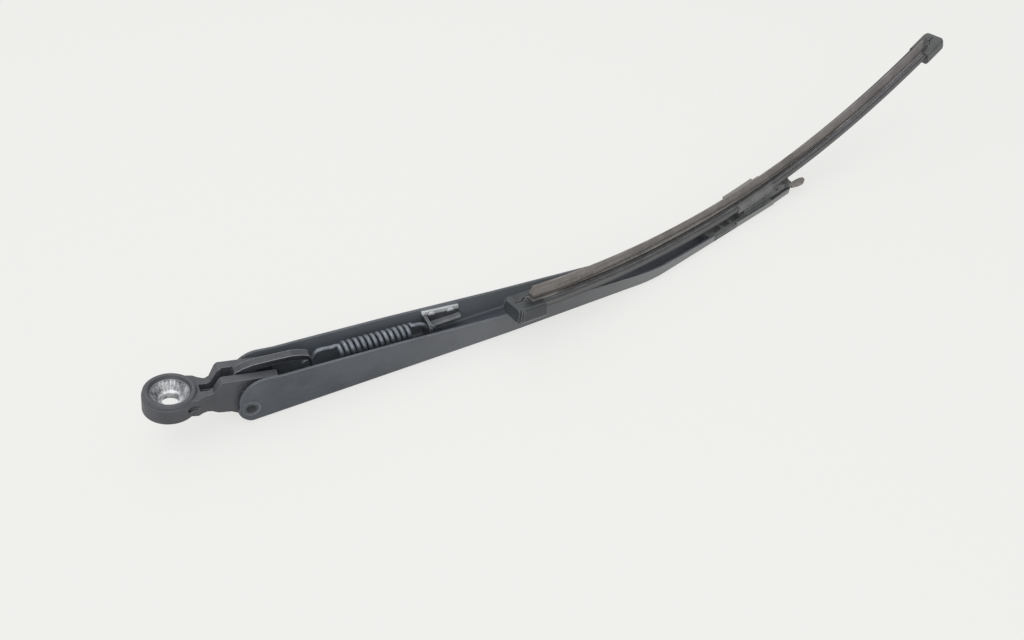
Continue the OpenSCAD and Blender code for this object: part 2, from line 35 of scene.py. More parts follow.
# Where the colour changes, as soft steps in metres: along the arm to the paler tip, at the nose, whose
# shaded floor is painted lit, across to the far wall, whose inside is painted lit, and back from the bend.
paler_from, paler_to, paler_most = 0.08, 0.34, 0.62
nose = (0.368, 0.376)
far_side = (0.004, 0.008)
before_bend = (0.262, 0.255)


def srgb(code):
    parts = [int(code[i:i + 2], 16) / 255 for i in (1, 3, 5)]
    return tuple(c / 12.92 if c <= 0.04045 else ((c + 0.055) / 1.055) ** 2.4 for c in parts) + (1.0,)


def grey(v):
    return (v, v, v, 1.0)


def cells(size):
    """How often a pattern of this size in mm comes in a metre."""
    return 1000 / size


def add(tree, kind, inputs=None, stops=(), **settings):
    """One node: its settings, its inputs, linked or set, and the colour stops of a ramp."""
    made = tree.nodes.new(kind)
    for name, value in settings.items():
        setattr(made, name, value)
    for key, value in (inputs or {}).items():
        if isinstance(value, bpy.types.Node):
            value = next(socket for socket in value.outputs if socket.enabled)
        if isinstance(value, bpy.types.NodeSocket):
            tree.links.new(value, made.inputs[key])
        else:
            made.inputs[key].default_value = value
    if stops:
        marks = made.color_ramp.elements
        while len(marks) < len(stops):
            marks.new(1.0)
        for mark, (at, colour) in zip(marks, stops):
            mark.position = at
            mark.color = colour
    return made


def start_finish(name):
    finish = bpy.data.materials.new(name)
    finish.use_nodes = True
    tree = finish.node_tree
    tree.nodes.clear()
    return finish, tree, add(tree, "ShaderNodeTexCoord").outputs["Object"]


def wear_and_highlight_edges(tree, skin, edge_tone, width, share, full_tone_at, kept_at, samples=4):
    """The skin, its edges paler over a width in mm as wear and painted highlight, and its rounded normal."""
    rounded = add(tree, "ShaderNodeBevel", {"Radius": width / 1000}, samples=samples)
    flat = add(tree, "ShaderNodeNewGeometry").outputs["Normal"]
    flatness = add(tree, "ShaderNodeVectorMath", {0: rounded, 1: flat}, operation="DOT_PRODUCT")
    edge_share = add(tree, "ShaderNodeValToRGB", {"Fac": flatness},
              stops=((full_tone_at, grey(share)), (kept_at, grey(0))))
    return add(tree, "ShaderNodeMix", {"Factor": edge_share, "A": skin, "B": edge_tone}, data_type="RGBA"), rounded


def dress(piece, finish):
    piece.data.materials.clear()
    piece.data.materials.append(finish)


# Powder-coated steel, sprayed and baked: satin dark grey with a fine grain, which is drawn at 0.4 mm
# because the real 0.1 mm wouldn't show. All but the upward faces turn paler toward the tip, while the
# upward channel floor keeps the darker coat as painted shade, save at the nose, where painted light
# turns the shaded floor pale too. Painted light lifts the inside of the far wall, dust lies in scuffs
# that run along the arm, and the cut edges are paler, partly rubbed wear and partly painted highlight.
finish, tree, coords = start_finish("powder_coated_steel")
cloud = add(tree, "ShaderNodeTexNoise", {"Vector": coords, "Scale": cells(coat_cloud), "Detail": 6.0,
                                         "Roughness": 0.6})
scuffs_at = add(tree, "ShaderNodeMapping", {
    "Vector": coords, "Scale": (cells(scuff_long), cells(scuff_wide), cells(scuff_wide))})
scuff = add(tree, "ShaderNodeTexNoise", {"Vector": scuffs_at, "Scale": 1.0, "Detail": 8.0, "Roughness": 0.72})
grain = add(tree, "ShaderNodeTexNoise", {"Vector": coords, "Scale": cells(coat_grain), "Detail": 2.0})
paint = add(tree, "ShaderNodeValToRGB", {"Fac": cloud},
            stops=((0.35, srgb("#3a3e45")), (0.68, srgb("#4a4f56"))))
dust = add(tree, "ShaderNodeValToRGB", {"Fac": scuff}, stops=((0.55, grey(0)), (0.78, grey(0.3))))
dusty = add(tree, "ShaderNodeMix", {"Factor": dust, "A": paint, "B": srgb("#8b8b8a")}, data_type="RGBA")
facing = add(tree, "ShaderNodeSeparateXYZ", {"Vector": add(tree, "ShaderNodeNewGeometry").outputs["Normal"]})
spot = add(tree, "ShaderNodeSeparateXYZ", {"Vector": coords})
# Upward faces keep the darker coat: painted shade on the channel floor.
not_upward = add(tree, "ShaderNodeMapRange", {"Value": facing.outputs["Z"], "From Min": 0.3, "From Max": 0.8,
                                              "To Min": 1.0, "To Max": 0.0})
# At the nose the upward floor, which lies in shade, is painted pale as well: painted light.
at_nose = add(tree, "ShaderNodeMapRange", {"Value": spot.outputs["X"], "From Min": nose[0],
                                           "From Max": nose[1]})
paled_faces = add(tree, "ShaderNodeMath", {0: not_upward, 1: at_nose}, operation="MAXIMUM")
toward_tip = add(tree, "ShaderNodeMapRange", {"Value": spot.outputs["X"], "From Min": paler_from,
                                              "From Max": paler_to, "To Min": 0.0, "To Max": paler_most})
paling = add(tree, "ShaderNodeMath", {0: toward_tip, 1: paled_faces}, operation="MULTIPLY")
paled = add(tree, "ShaderNodeMix", {"Factor": paling, "A": dusty, "B": srgb("#8f8f8d")}, data_type="RGBA")
# Painted light: the inward face of the far wall's straight part is tinted paler where the channel's inside
# lies in shade.
on_far_wall = add(tree, "ShaderNodeMapRange", {"Value": spot.outputs["Y"], "From Min": far_side[0],
                                               "From Max": far_side[1]})
on_straight = add(tree, "ShaderNodeMapRange", {"Value": spot.outputs["X"], "From Min": before_bend[0],
                                               "From Max": before_bend[1]})
inward = add(tree, "ShaderNodeMapRange", {"Value": facing.outputs["Y"], "From Min": -0.3, "From Max": -0.9,
                                          "To Min": 0.0, "To Max": 0.45})
far_straight = add(tree, "ShaderNodeMath", {0: on_far_wall, 1: on_straight}, operation="MULTIPLY")
far_wall_light = add(tree, "ShaderNodeMath", {0: far_straight, 1: inward}, operation="MULTIPLY")
far_wall_lit = add(tree, "ShaderNodeMix", {"Factor": far_wall_light, "A": paled, "B": srgb("#83898f")}, data_type="RGBA")
# The cut edges turn paler: rubbed wear and painted highlight.
worn_and_lit, rounded = wear_and_highlight_edges(tree, far_wall_lit, srgb("#8f9296"),
                          width=0.5, share=0.75, full_tone_at=0.86, kept_at=0.97)
bump = add(tree, "ShaderNodeBump", {"Strength": 0.12, "Distance": 0.00004, "Height": grain,
                                    "Normal": rounded})
gloss = add(tree, "ShaderNodeValToRGB", {"Fac": scuff}, stops=((0.3, grey(0.42)), (0.75, grey(0.62))))
shader = add(tree, "ShaderNodeBsdfPrincipled", {"Base Color": worn_and_lit, "Roughness": gloss, "Normal": bump})
add(tree, "ShaderNodeOutputMaterial", {"Surface": shader})
dress(nodes["arm_channel"], finish)

# Spring anchor: a pressing in thicker steel, with a plate along the far wall, a narrow foot flange under
# it, and a web across the channel. Two rivets hold it, and the spring's far hook sits in the web.
anchor_cloud = 6.25  # mm
# The soft steps that bound the two bars of painted highlight, in metres: the plate's top edge, which falls
# toward the tip, the faces of the plate and of the wall, the top of the foot flange, and the back of the web.
top_edge, top_fall = (0.0112, 0.0118), 0.134
plate_face = (0.0070, 0.0073)
wall_face = (0.0105, 0.0100)
foot_face = (-0.0119, -0.0122)
web_back = (0.1308, 0.1311)
foot_highlight_share = 0.6

# Electro-coated steel, dipped: a thin, even, dark coat without grain. Its corners are paler, rubbed wear
# with painted highlight, and the plate's top edge and the foot flange carry two bright, patchy bars of
# painted highlight.
finish, tree, coords = start_finish("electro_coated_steel")
cloud = add(tree, "ShaderNodeTexNoise", {"Vector": coords, "Scale": cells(anchor_cloud), "Detail": 6.0})
coat = add(tree, "ShaderNodeValToRGB", {"Fac": cloud},
           stops=((0.35, srgb("#3c3f43")), (0.7, srgb("#505357"))))
worn_and_lit, rounded = wear_and_highlight_edges(tree, coat, srgb("#a4a7aa"),
                          width=0.6, share=1.0, full_tone_at=0.8, kept_at=0.96)
spot = add(tree, "ShaderNodeSeparateXYZ", {"Vector": coords})
height = add(tree, "ShaderNodeMath", {0: spot.outputs["X"], 1: top_fall, 2: spot.outputs["Z"]},
             operation="MULTIPLY_ADD")
near_top = add(tree, "ShaderNodeMapRange", {"Value": height, "From Min": top_edge[0],
                                            "From Max": top_edge[1]})
past_face = add(tree, "ShaderNodeMapRange", {"Value": spot.outputs["Y"], "From Min": plate_face[0],
                                             "From Max": plate_face[1]})
inside_wall = add(tree, "ShaderNodeMapRange", {"Value": spot.outputs["Y"], "From Min": wall_face[0],
                                               "From Max": wall_face[1]})
on_plate = add(tree, "ShaderNodeMath", {0: past_face, 1: inside_wall}, operation="MULTIPLY")
# Two bars of painted highlight, along the plate's top edge and along the foot flange.
top_highlight = add(tree, "ShaderNodeMath", {0: near_top, 1: on_plate}, operation="MULTIPLY")
on_foot = add(tree, "ShaderNodeMapRange", {"Value": spot.outputs["Z"], "From Min": foot_face[0],
                                           "From Max": foot_face[1]})
past_web = add(tree, "ShaderNodeMapRange", {"Value": spot.outputs["X"], "From Min": web_back[0],
                                            "From Max": web_back[1]})
foot_highlight = add(tree, "ShaderNodeMath", {0: on_foot, 1: past_web}, operation="MULTIPLY")
highlight_bars = add(tree, "ShaderNodeMath", {0: foot_highlight, 1: foot_highlight_share, 2: top_highlight}, operation="MULTIPLY_ADD",
           use_clamp=True)
patches = add(tree, "ShaderNodeValToRGB", {"Fac": cloud}, stops=((0.3, grey(0.8)), (0.6, grey(1))))
patchy_highlights = add(tree, "ShaderNodeMath", {0: highlight_bars, 1: patches}, operation="MULTIPLY")
highlighted = add(tree, "ShaderNodeMix", {"Factor": patchy_highlights, "A": worn_and_lit, "B": srgb("#c6c8ca")}, data_type="RGBA")
shader = add(tree, "ShaderNodeBsdfPrincipled", {"Base Color": highlighted, "Roughness": 0.42, "Normal": rounded})
add(tree, "ShaderNodeOutputMaterial", {"Surface": shader})
for name, slot in (("anchor_bracket", "bracket_steel"), ("anchor_rivet_front", "pin_steel"),
                   ("anchor_rivet_rear", "pin_steel")):
    dress(nodes[name], finish)

# Small pins: cut from drawn steel bar. The link pin goes through both cheeks of the head, and the pivot
# pin through the hub of the adapter and the lugs of the clamp.
pin_cloud, pin_corner = 2.38, 0.3  # mm

# Drawn steel, left bare: dull grey metal, slightly mottled.
finish, tree, coords = start_finish("drawn_steel")
cloud = add(tree, "ShaderNodeTexNoise", {"Vector": coords, "Scale": cells(pin_cloud), "Detail": 5.0})
tint = add(tree, "ShaderNodeValToRGB", {"Fac": cloud},
           stops=((0.3, srgb("#6f7276")), (0.7, srgb("#9a9da1"))))
rounded = add(tree, "ShaderNodeBevel", {"Radius": pin_corner / 1000}, samples=4)
shader = add(tree, "ShaderNodeBsdfPrincipled", {"Base Color": tint, "Roughness": 0.45, "Metallic": 0.8,
                                                "Normal": rounded})
add(tree, "ShaderNodeOutputMaterial", {"Surface": shader})
for name in ("link_pin", "pivot_pin"):
    dress(nodes[name], finish)

# Hinge pin: steel, pushed through the walls and the cheeks and spread at both ends with a punch, which
# leaves the dimple that shows on the near wall.
hinge_pin_cloud = 3.85  # mm
# The painted shade in the dimple's pit and the painted highlight on the ring round it, as distances in
# metres from the pin's middle, and how far toward its lower side the highlight grows.
pit = (0.0031, 0.0022)
ring = (0.0034, 0.0042)
crescent = (-0.002, 0.006)

# Places are written in mm as the part's source has them: x from the ring's middle along the arm, y to the
# side that it bends to, z over its back. The frame starts at the middle of the spindle bore, in metres.
bore_x, bore_z = -0.5817, 21.0947


def place(x, y, z):
    return Vector(((x - bore_x) / 1000, y / 1000, (z - bore_z) / 1000))


pin_at = place(32.6, 0, 10.3)

# Steel painted over with the arm: the same grey coat. The punched dimple's pit is painted dark as shade,
# and the ring round it carries a painted highlight, most of all on its lower side toward the tip.
finish, tree, coords = start_finish("painted_steel")
cloud = add(tree, "ShaderNodeTexNoise", {"Vector": coords, "Scale": cells(hinge_pin_cloud), "Detail": 6.0})
coat = add(tree, "ShaderNodeValToRGB", {"Fac": cloud},
           stops=((0.35, srgb("#3a3e43")), (0.65, srgb("#4c5056"))))
# Edges paler as rubbed wear and painted highlight.
worn_and_lit, rounded = wear_and_highlight_edges(tree, coat, srgb("#8e9297"),
                          width=0.4, share=0.6, full_tone_at=0.86, kept_at=0.97, samples=6)
from_pin = add(tree, "ShaderNodeVectorMath", {0: coords, 1: pin_at}, operation="SUBTRACT")
spot = add(tree, "ShaderNodeSeparateXYZ", {"Vector": from_pin})
on_end = add(tree, "ShaderNodeCombineXYZ", {"X": spot.outputs["X"], "Z": spot.outputs["Z"]})
reach = add(tree, "ShaderNodeVectorMath", {0: on_end}, operation="LENGTH")
# Painted shade: the dimple's pit is darkened.
in_pit = add(tree, "ShaderNodeMapRange", {"Value": reach, "From Min": pit[0], "From Max": pit[1]})
pit_shaded = add(tree, "ShaderNodeMix", {"Factor": in_pit, "A": worn_and_lit, "B": srgb("#1d1f22")}, data_type="RGBA")
# Painted highlight on the ring round the pit, strongest toward its lower side.
on_ring = add(tree, "ShaderNodeMapRange", {"Value": reach, "From Min": ring[0], "From Max": ring[1]})
lower = add(tree, "ShaderNodeMath", {0: spot.outputs["X"], 1: spot.outputs["Z"]}, operation="SUBTRACT")
lower_side_highlight = add(tree, "ShaderNodeMapRange", {"Value": lower, "From Min": crescent[0], "From Max": crescent[1],
                                          "To Min": 0.05, "To Max": 0.6})
rim_highlight = add(tree, "ShaderNodeMath", {0: on_ring, 1: lower_side_highlight}, operation="MULTIPLY")
ringed = add(tree, "ShaderNodeMix", {"Factor": rim_highlight, "A": pit_shaded, "B": srgb("#82868c")}, data_type="RGBA")
shader = add(tree, "ShaderNodeBsdfPrincipled", {"Base Color": ringed, "Roughness": 0.5, "Normal": rounded})
add(tree, "ShaderNodeOutputMaterial", {"Surface": shader})
dress(nodes["hinge_pin"], finish)

# Washers: two moulded rings on the hinge pin, one at each side. They keep the cheeks of the head off the
# walls of the arm, so that paint doesn't turn on paint.
washer_cloud = 3.33  # mm

# Nylon, moulded black: matt, with a faint unevenness.
finish, tree, coords = start_finish("moulded_nylon")
cloud = add(tree, "ShaderNodeTexNoise", {"Vector": coords, "Scale": cells(washer_cloud), "Detail": 4.0})
tint = add(tree, "ShaderNodeValToRGB", {"Fac": cloud},
           stops=((0.3, srgb("#242527")), (0.7, srgb("#333436"))))
shader = add(tree, "ShaderNodeBsdfPrincipled", {"Base Color": tint, "Roughness": 0.6})
add(tree, "ShaderNodeOutputMaterial", {"Surface": shader})
for name in ("hinge_washer_near", "hinge_washer_far"):
    dress(nodes[name], finish)

# Mounting head: one casting with the ring that grips the spindle, a neck, and two cheeks that turn on the
# hinge pin. The ribbed taper in the ring is bare, because the spindle seats on metal there.
head_cloud, head_peel, bore_spots = 11.1, 0.667, 4.76  # mm
bore_tilt = math.radians(14.85)
taper_edge = (0.0080, 0.0086)  # where the bare metal ends, in metres from the bore's middle line

# Die-cast aluminium, sprayed: satin dark grey, fine orange peel, edges paler as wear and painted highlight.
# Inside the
# ring it is bare metal in bright and dull spots.
finish, tree, coords = start_finish("painted_die_cast_aluminium")
cloud = add(tree, "ShaderNodeTexNoise", {"Vector": coords, "Scale": cells(head_cloud), "Detail": 7.0,
                                         "Roughness": 0.62})
peel = add(tree, "ShaderNodeTexNoise", {"Vector": coords, "Scale": cells(head_peel), "Detail": 3.0})
spots = add(tree, "ShaderNodeTexNoise", {"Vector": coords, "Scale": cells(bore_spots), "Detail": 5.0,
                                         "Roughness": 0.65})
paint = add(tree, "ShaderNodeValToRGB", {"Fac": cloud},
            stops=((0.32, srgb("#393a3f")), (0.7, srgb("#47484d"))))
worn_and_lit, rounded = wear_and_highlight_edges(tree, paint, srgb("#8d9093"),
                          width=0.7, share=0.6, full_tone_at=0.8, kept_at=0.95, samples=6)
bore_axis = (math.sin(bore_tilt), 0.0, math.cos(bore_tilt))
off_axis = add(tree, "ShaderNodeVectorMath", {0: coords, 1: bore_axis}, operation="CROSS_PRODUCT")
reach = add(tree, "ShaderNodeVectorMath", {0: off_axis}, operation="LENGTH")
in_taper = add(tree, "ShaderNodeMapRange", {"Value": reach, "From Min": taper_edge[0],
                                            "From Max": taper_edge[1], "To Min": 1.0, "To Max": 0.0})
metal = add(tree, "ShaderNodeValToRGB", {"Fac": spots},
            stops=((0.38, srgb("#77797c")), (0.5, srgb("#a6a8ab")), (0.62, srgb("#d6d7d9"))))
skin = add(tree, "ShaderNodeMix", {"Factor": in_taper, "A": worn_and_lit, "B": metal}, data_type="RGBA")
bump = add(tree, "ShaderNodeBump", {"Strength": 0.2, "Distance": 0.00006, "Height": peel,
                                    "Normal": rounded})
shader = add(tree, "ShaderNodeBsdfPrincipled", {"Base Color": skin, "Roughness": 0.48, "Metallic": in_taper,
                                                "Normal": bump})
add(tree, "ShaderNodeOutputMaterial", {"Surface": shader})
dress(nodes["head_casting"], finish)

# Spring link: an arched strap, punched from steel plate, that hangs on the link pin and pulls the spring
# as the arm is lifted.
link_streak_long, link_streak_wide = 5.0, 0.5  # mm

# Blackened steel, dipped and oiled: near black with streaks along the strap. Its rounded edges are
# painted bright, as painted highlight lines.
finish, tree, coords = start_finish("blackened_steel")
streaks_at = add(tree, "ShaderNodeMapping", {
    "Vector": coords, "Scale": (cells(link_streak_long), cells(link_streak_wide), cells(link_streak_wide))})
cloud = add(tree, "ShaderNodeTexNoise", {"Vector": streaks_at, "Scale": 1.0, "Detail": 7.0})
coat = add(tree, "ShaderNodeValToRGB", {"Fac": cloud},
           stops=((0.35, srgb("#25282c")), (0.65, srgb("#373a40"))))
# Painted highlight along the rounded edges.
worn_and_lit, rounded = wear_and_highlight_edges(tree, coat, srgb("#b4b7bb"),
                          width=0.7, share=0.85, full_tone_at=0.82, kept_at=0.96, samples=6)
shader = add(tree, "ShaderNodeBsdfPrincipled", {"Base Color": worn_and_lit, "Roughness": 0.3, "Normal": rounded})
add(tree, "ShaderNodeOutputMaterial", {"Surface": shader})
dress(nodes["spring_link"], finish)

# Tension spring: 2.5 mm wire wound in thirteen turns, with one hook in the link and the other in the
# spring anchor. It is drawn as one smooth tube and stretches between its two hooks. Sizes are in mm.
wire, coil = 1.23, 3.55  # radius of the wire, and of its middle line round the coil
turns, points_a_turn = 13, 20
coil_from, coil_long = 15.2, 39.1
wire_mottle = 2.0
# The far hook is drawn thinner, so that it clears the web when the arm is lifted.
thin_from, thin = 62, 0.92
# The points where the two hooks hang: one in the link, one in the spring anchor.
hook_at = Vector((65.8, 0, 19.25))
anchor_at = Vector((129.6, 0, 14.3))
span = (anchor_at - hook_at).length
fore = (anchor_at - hook_at).normalized()
up = Vector((-fore.z, 0, fore.x))
side = Vector((0, 1, 0))
# Each hook as places along the spring and over its middle line.
near_hook = [(-3, -1.5), (-1.7, -0.2), (0, 0), (1.4, 0.1), (2.7, 1.1), (3.4, 2.8), (4.7, 3.9), (6.4, 4.1),
             (9, 3.8), (12, 3.55)]
far_hook = [(55.6, 3.55), (57.6, 3.45), (59.4, 3), (60.6, 2.3), (61.7, 1), (62.6, 0.2), (span, 0),
            (span + 1.5, -0.3), (span + 2.6, -1.4)]
path = [(u, v, 0.0) for u, v in near_hook] + [(13.9, coil, 0.35)]
for i in range(turns * points_a_turn + 1):
    turn = math.pi / 2 + i * 2 * math.pi / points_a_turn
    along = coil_from + coil_long * i / (turns * points_a_turn)
    path.append((along, coil * math.sin(turn), coil * math.cos(turn)))
path += [(u, v, 0.0) for u, v in far_hook]
curve = bpy.data.curves.new("spring_wire", "CURVE")
curve.dimensions = "3D"
curve.bevel_depth = wire / 1000
curve.bevel_resolution = 3
curve.use_fill_caps = True
line = curve.splines.new("POLY")
line.points.add(len(path) - 1)
for point, (u, v, w) in zip(line.points, path):
    at = hook_at + fore * u + up * v + side * w
    point.co = (*place(at.x, at.y, at.z), 1.0)
    point.radius = thin if u > thin_from else 1.0
spring = bpy.data.objects.new("spring_wire", curve)
bpy.context.scene.collection.objects.link(spring)
bpy.ops.object.select_all(action="DESELECT")
spring.select_set(True)
bpy.context.view_layer.objects.active = spring
bpy.ops.object.convert(target="MESH")
bpy.ops.object.shade_smooth()
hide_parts("tension_spring")

# Phosphated spring wire, hard-drawn: dark blue-grey and dull, with a soft metal sheen along each turn.
finish, tree, coords = start_finish("phosphated_spring_wire")
cloud = add(tree, "ShaderNodeTexNoise", {"Vector": coords, "Scale": cells(wire_mottle), "Detail": 5.0})
tint = add(tree, "ShaderNodeValToRGB", {"Fac": cloud},
           stops=((0.3, srgb("#5b5f66")), (0.7, srgb("#7b8088"))))
shader = add(tree, "ShaderNodeBsdfPrincipled", {"Base Color": tint, "Roughness": 0.4, "Metallic": 0.6})
add(tree, "ShaderNodeOutputMaterial", {"Surface": shader})
dress(spring, finish)
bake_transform(spring)

# Adapter: one moulding that clips into the window at the tip of the arm. Its hub takes the pivot pin, on
# which the blade rocks.
adapter_cloud, adapter_grain, adapter_corner = 8.33, 0.455, 0.5  # mm

# Glass-filled nylon, moulded in a spark-eroded tool: matt dark grey, greyed by weather, with a fine grain.
# The grain is drawn at 0.5 mm, because the real 0.1 mm wouldn't show.
finish, tree, coords = start_finish("glass_filled_nylon")
cloud = add(tree, "ShaderNodeTexNoise", {"Vector": coords, "Scale": cells(adapter_cloud), "Detail": 6.0})
grain = add(tree, "ShaderNodeTexNoise", {"Vector": coords, "Scale": cells(adapter_grain), "Detail": 2.0})
tint = add(tree, "ShaderNodeValToRGB", {"Fac": cloud},
           stops=((0.32, srgb("#545657")), (0.7, srgb("#6c6d6c"))))
rounded = add(tree, "ShaderNodeBevel", {"Radius": adapter_corner / 1000}, samples=4)
bump = add(tree, "ShaderNodeBump", {"Strength": 0.25, "Distance": 0.00005, "Height": grain,
                                    "Normal": rounded})
shader = add(tree, "ShaderNodeBsdfPrincipled", {"Base Color": tint, "Roughness": 0.55, "Normal": bump})
add(tree, "ShaderNodeOutputMaterial", {"Surface": shader})
dress(nodes["blade_adapter"], finish)

# Release tab: the moulded paddle at the outer end of the adapter, on a stub pin at its near side. It is
# pressed to let the blade go.
tab_cloud, tab_corner = 4.55, 0.4  # mm

# Acetal, moulded: paler than the adapter, warm grey and slightly shiny from handling.
finish, tree, coords = start_finish("moulded_acetal")
cloud = add(tree, "ShaderNodeTexNoise", {"Vector": coords, "Scale": cells(tab_cloud), "Detail": 6.0})
tint = add(tree, "ShaderNodeValToRGB", {"Fac": cloud},
           stops=((0.32, srgb("#6b6866")), (0.7, srgb("#85817d"))))
rounded = add(tree, "ShaderNodeBevel", {"Radius": tab_corner / 1000}, samples=4)
shader = add(tree, "ShaderNodeBsdfPrincipled", {"Base Color": tint, "Roughness": 0.5, "Normal": rounded})
add(tree, "ShaderNodeOutputMaterial", {"Surface": shader})
dress(nodes["release_tab"], finish)

# Clamp: a steel pressing with claws over both rails at the middle of the blade, a plate on its far side,
# and two lugs below that sit on the pivot pin.
clamp_cloud = 7.14  # mm
outer_plate = (0.004, 0.0055)  # where the plate on the far side begins, in metres across the blade
# The rails lie on one arc. Its lowest point, in mm, its turn and tilt against the arm, and its radius.
blade_middle, blade_turn, blade_tilt, blade_arc = (357.921, 23.387, 13.4), 14.04, -3.6, 592


def along_blade(tree, coords):
    """A spot's height over the rails in mm, and its place along and across the blade in metres."""
    turned = add(tree, "ShaderNodeMapping", {
        "Vector": coords, "Location": place(*blade_middle),
        "Rotation": (0.0, math.radians(blade_tilt), math.radians(blade_turn))}, vector_type="TEXTURE")
    spot = add(tree, "ShaderNodeSeparateXYZ", {"Vector": turned})
    below_centre = add(tree, "ShaderNodeMath", {0: blade_arc / 1000, 1: spot.outputs["Z"]},
                       operation="SUBTRACT")
    spoke = add(tree, "ShaderNodeCombineXYZ", {"X": spot.outputs["X"], "Z": below_centre})
    radius = add(tree, "ShaderNodeVectorMath", {0: spoke}, operation="LENGTH")
    height = add(tree, "ShaderNodeMath", {0: radius, 1: -1000.0, 2: blade_arc}, operation="MULTIPLY_ADD")
    return height, spot.outputs["X"], spot.outputs["Y"]


# Painted steel, pressed and sprayed: satin dark grey, paler on its folds as rubbed wear and painted
# highlight. The plate on the far side is paler.
finish, tree, coords = start_finish("painted_pressed_steel")
cloud = add(tree, "ShaderNodeTexNoise", {"Vector": coords, "Scale": cells(clamp_cloud), "Detail": 6.0})
paint = add(tree, "ShaderNodeValToRGB", {"Fac": cloud},
            stops=((0.32, srgb("#4e4f50")), (0.7, srgb("#646464"))))
height, along, across = along_blade(tree, coords)
on_plate = add(tree, "ShaderNodeMapRange", {"Value": across, "From Min": outer_plate[0],
                                            "From Max": outer_plate[1]})
plate_paler = add(tree, "ShaderNodeMix", {"Factor": on_plate, "A": paint, "B": srgb("#7b7977")}, data_type="RGBA")
worn_and_lit, rounded = wear_and_highlight_edges(tree, plate_paler, srgb("#a2a4a6"),
                          width=0.5, share=0.7, full_tone_at=0.8, kept_at=0.96)
shader = add(tree, "ShaderNodeBsdfPrincipled", {"Base Color": worn_and_lit, "Roughness": 0.45, "Normal": rounded})
add(tree, "ShaderNodeOutputMaterial", {"Surface": shader})
dress(nodes["blade_clamp"], finish)

# Wiper rubber: one extrusion with a head that the rails grip, a thin neck, and the lip that wipes. The
# lip has set to one side, and painted shade lies in its crease, which runs down to the neck at both ends.
rubber_blotch, dust_speck, crease_sway, streak_long, streak_wide = 18.2, 1.43, 8.33, 28.5, 0.77  # mm
# The crease in mm over the rails, and how far the bands of colour reach under and over it.
crease_low, crease_high = 3.7, 6.0
bands_low, bands_high = -3.0, 5.0
# Where the crease rises and falls, the rubber turns cooler and the outer cap begins, as soft steps in
# metres along the blade from its middle.
crease_rises = (-0.175, -0.08)
crease_falls = (-0.06, 0.10)
turns_cooler = (0.04, 0.13)
outer_cap = (0.179, 0.181)


def blade_streaks(tree, along, height):
    """Streaks along the blade, such as an extruder's die and years of wiping leave on it."""
    unrolled = add(tree, "ShaderNodeCombineXYZ", {"X": along, "Y": height})
    drawn_out = add(tree, "ShaderNodeMapping", {
        "Vector": unrolled, "Scale": (cells(streak_long), 1 / streak_wide, 1.0)})
    return add(tree, "ShaderNodeTexNoise", {"Vector": drawn_out, "Scale": 1.0, "Detail": 5.0,
                                            "Roughness": 0.7})


# Natural rubber, extruded and cured: matt, gone brownish grey in blotches as it dried out, cooler toward
# the outer end. Fine dust and lengthwise streaks cover it, a dark line of painted shade marks the crease
# with a thin pale one under it, and the stretch over the outer cap is painted as the cap.
finish, tree, coords = start_finish("extruded_rubber")
blotch = add(tree, "ShaderNodeTexNoise", {"Vector": coords, "Scale": cells(rubber_blotch), "Detail": 7.0,
                                          "Roughness": 0.65})
speck = add(tree, "ShaderNodeTexNoise", {"Vector": coords, "Scale": cells(dust_speck), "Detail": 4.0})
sway = add(tree, "ShaderNodeTexNoise", {"Vector": coords, "Scale": cells(crease_sway), "Detail": 4.0})
height, along, across = along_blade(tree, coords)
rise = add(tree, "ShaderNodeMapRange", {"Value": along, "From Min": crease_rises[0],
                                        "From Max": crease_rises[1], "To Min": crease_low,
                                        "To Max": crease_high})
fall = add(tree, "ShaderNodeMapRange", {"Value": along, "From Min": crease_falls[0],
                                        "From Max": crease_falls[1], "To Min": crease_high,
                                        "To Max": crease_low})
crease = add(tree, "ShaderNodeMath", {0: rise, 1: fall}, operation="MINIMUM")
over_crease = add(tree, "ShaderNodeMath", {0: height, 1: crease}, operation="SUBTRACT")
wavering = add(tree, "ShaderNodeMath", {0: sway, 1: -0.5}, operation="ADD")
wavy = add(tree, "ShaderNodeMath", {0: over_crease, 1: wavering}, operation="ADD")
level = add(tree, "ShaderNodeMapRange", {"Value": wavy, "From Min": bands_low, "From Max": bands_high})
# The darkest band, at the crease, is painted shade.
bands = add(tree, "ShaderNodeValToRGB", {"Fac": level}, stops=(
    (0.0, srgb("#454443")), (0.1, srgb("#575553")), (0.13, srgb("#83807d")), (0.165, srgb("#83807d")),
    (0.195, srgb("#5b5957")), (0.31, srgb("#656260")), (0.35, srgb("#2b2928")), (0.385, srgb("#2b2928")),
    (0.43, srgb("#5f5b58")), (0.6, srgb("#696562")), (1.0, srgb("#6e6a67"))))
blotches = add(tree, "ShaderNodeValToRGB", {"Fac": blotch},
               stops=((0.3, grey(0.66)), (0.5, grey(1)), (0.72, grey(1.25))))
blotched = add(tree, "ShaderNodeMix", {"Factor": 1.0, "A": bands, "B": blotches}, data_type="RGBA",
               blend_type="MULTIPLY")
dust = add(tree, "ShaderNodeValToRGB", {"Fac": speck}, stops=((0.5, grey(0)), (0.8, grey(0.4))))
dusty = add(tree, "ShaderNodeMix", {"Factor": dust, "A": blotched, "B": srgb("#86827d")}, data_type="RGBA")
outward = add(tree, "ShaderNodeMapRange", {"Value": along, "From Min": turns_cooler[0],
                                           "From Max": turns_cooler[1]})
cooler = add(tree, "ShaderNodeMix", {"Factor": outward, "A": dusty, "B": srgb("#f9f7ff")}, data_type="RGBA",
             blend_type="MULTIPLY")
streaks = add(tree, "ShaderNodeValToRGB", {"Fac": blade_streaks(tree, along, height)},
              stops=((0.36, grey(0.68)), (0.5, grey(0.96)), (0.64, grey(1.2))))
